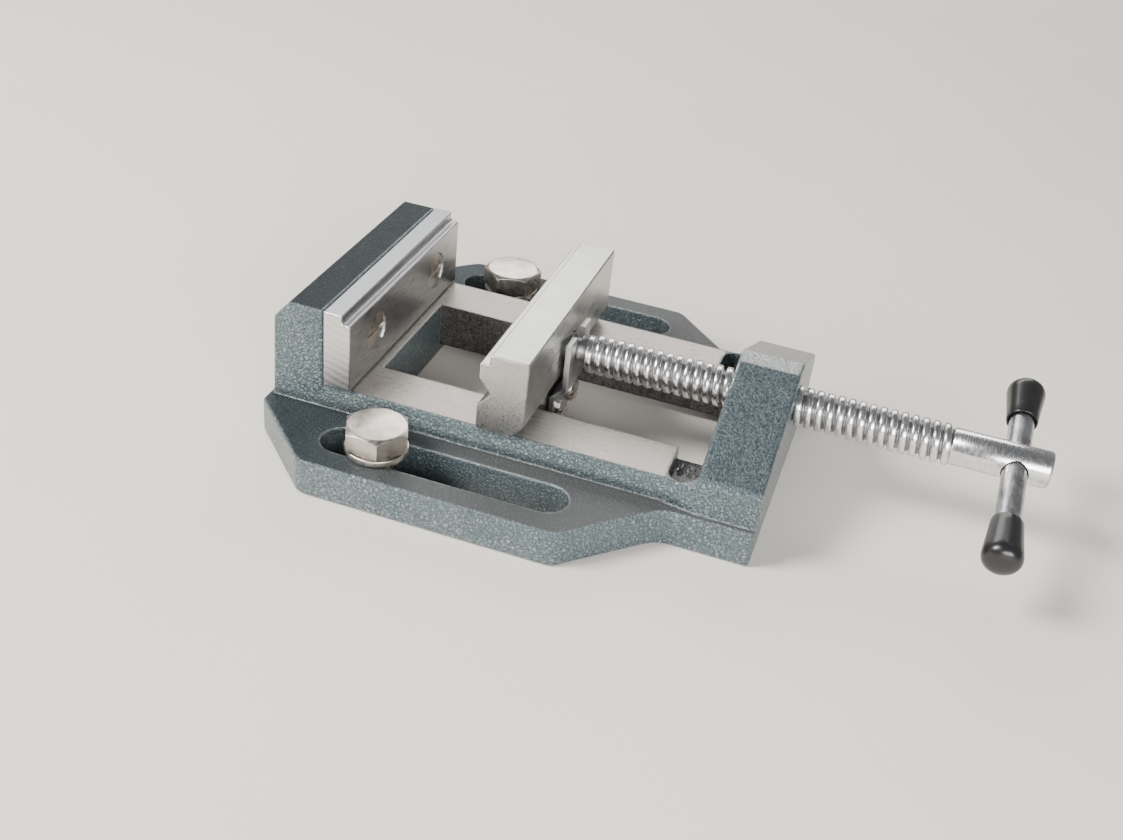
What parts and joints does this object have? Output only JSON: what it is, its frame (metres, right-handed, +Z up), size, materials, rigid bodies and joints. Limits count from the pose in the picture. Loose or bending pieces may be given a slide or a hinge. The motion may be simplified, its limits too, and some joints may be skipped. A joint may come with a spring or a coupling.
{
  "type": "drill press vise",
  "caption": "Low machine vise with slotted mounting feet, a stepped fixed jaw plate, a sliding vee jaw on a lead screw, and a sliding tommy bar.",
  "frame": {"origin": "on the underside, in the symmetry plane, below the fixed jaw's working face", "axes": "+X along the lead screw towards the tommy bar, +Y across the jaws, +Z up from the underside"},
  "size_m": [0.2192, 0.1356, 0.042],
  "materials": {
    "hammer_paint": "blue-grey hammertone paint on cast iron, ground bright on the rails",
    "plate_steel": "milled, with slanting tool marks",
    "jaw_steel": "satin ground",
    "block_steel": "dark milled",
    "sheet_steel": "bright zinc plated sheet",
    "bright_steel": "bright rolled thread",
    "bar_steel": "dull zinc plated",
    "zinc_fastener": "zinc plated",
    "cap_plastic": "black moulded, slight gloss"
  },
  "bodies": {
    "body": {"vise_body": "hammer_paint", "fixed_jaw_plate": "plate_steel", "jaw_plate_screw_near": "zinc_fastener", "jaw_plate_screw_far": "zinc_fastener"},
    "jaw": {"movable_jaw": "jaw_steel", "guide_block": "block_steel", "keeper_plate": "sheet_steel", "keeper_screw_near": "zinc_fastener", "keeper_screw_far": "zinc_fastener", "retainer_plate": "sheet_steel", "retainer_screw_near": "zinc_fastener", "retainer_screw_far": "zinc_fastener"},
    "screw": {"lead_screw": "bright_steel"},
    "bar": {"tommy_bar": "bar_steel", "bar_cap_near": "cap_plastic", "bar_cap_far": "cap_plastic"},
    "washer_near": {"spring_washer_near": "zinc_fastener"},
    "bolt_near": {"hold_down_bolt_near": "zinc_fastener"},
    "washer_far": {"spring_washer_far": "zinc_fastener"},
    "bolt_far": {"hold_down_bolt_far": "zinc_fastener"}
  },
  "joints": [
    {"name": "jaw_slide", "type": "slide", "parent": "body", "child": "jaw", "axis": [1, 0, 0], "range_m": [-0.0387, 0.036]},
    {"name": "screw_turn", "type": "hinge", "parent": "jaw", "child": "screw", "pos_m": [0.0539, 0, 0.027], "axis": [1, 0, 0], "range_deg": [-4644, 4320]},
    {"name": "bar_slide", "type": "slide", "parent": "screw", "child": "bar", "axis": [0, -0.981, -0.1942], "range_m": [-0.0186, 0.0111]},
    {"name": "washer_slide_near", "type": "slide", "parent": "body", "child": "washer_near", "axis": [1, 0, 0], "range_m": [-0.0105, 0.0503]},
    {"name": "bolt_turn_near", "type": "hinge", "parent": "washer_near", "child": "bolt_near", "pos_m": [0.0154, -0.0537, 0.0135], "axis": [0, 0, 1], "continuous": true},
    {"name": "washer_slide_far", "type": "slide", "parent": "body", "child": "washer_far", "axis": [1, 0, 0], "range_m": [-0.0105, 0.0503]},
    {"name": "bolt_turn_far", "type": "hinge", "parent": "washer_far", "child": "bolt_far", "pos_m": [0.0154, 0.0537, 0.0135], "axis": [0, 0, 1], "continuous": true}
  ],
  "couplings": [
    {"joint": "screw_turn", "follows": "jaw_slide", "rad_per_m": 2094.4}
  ]
}
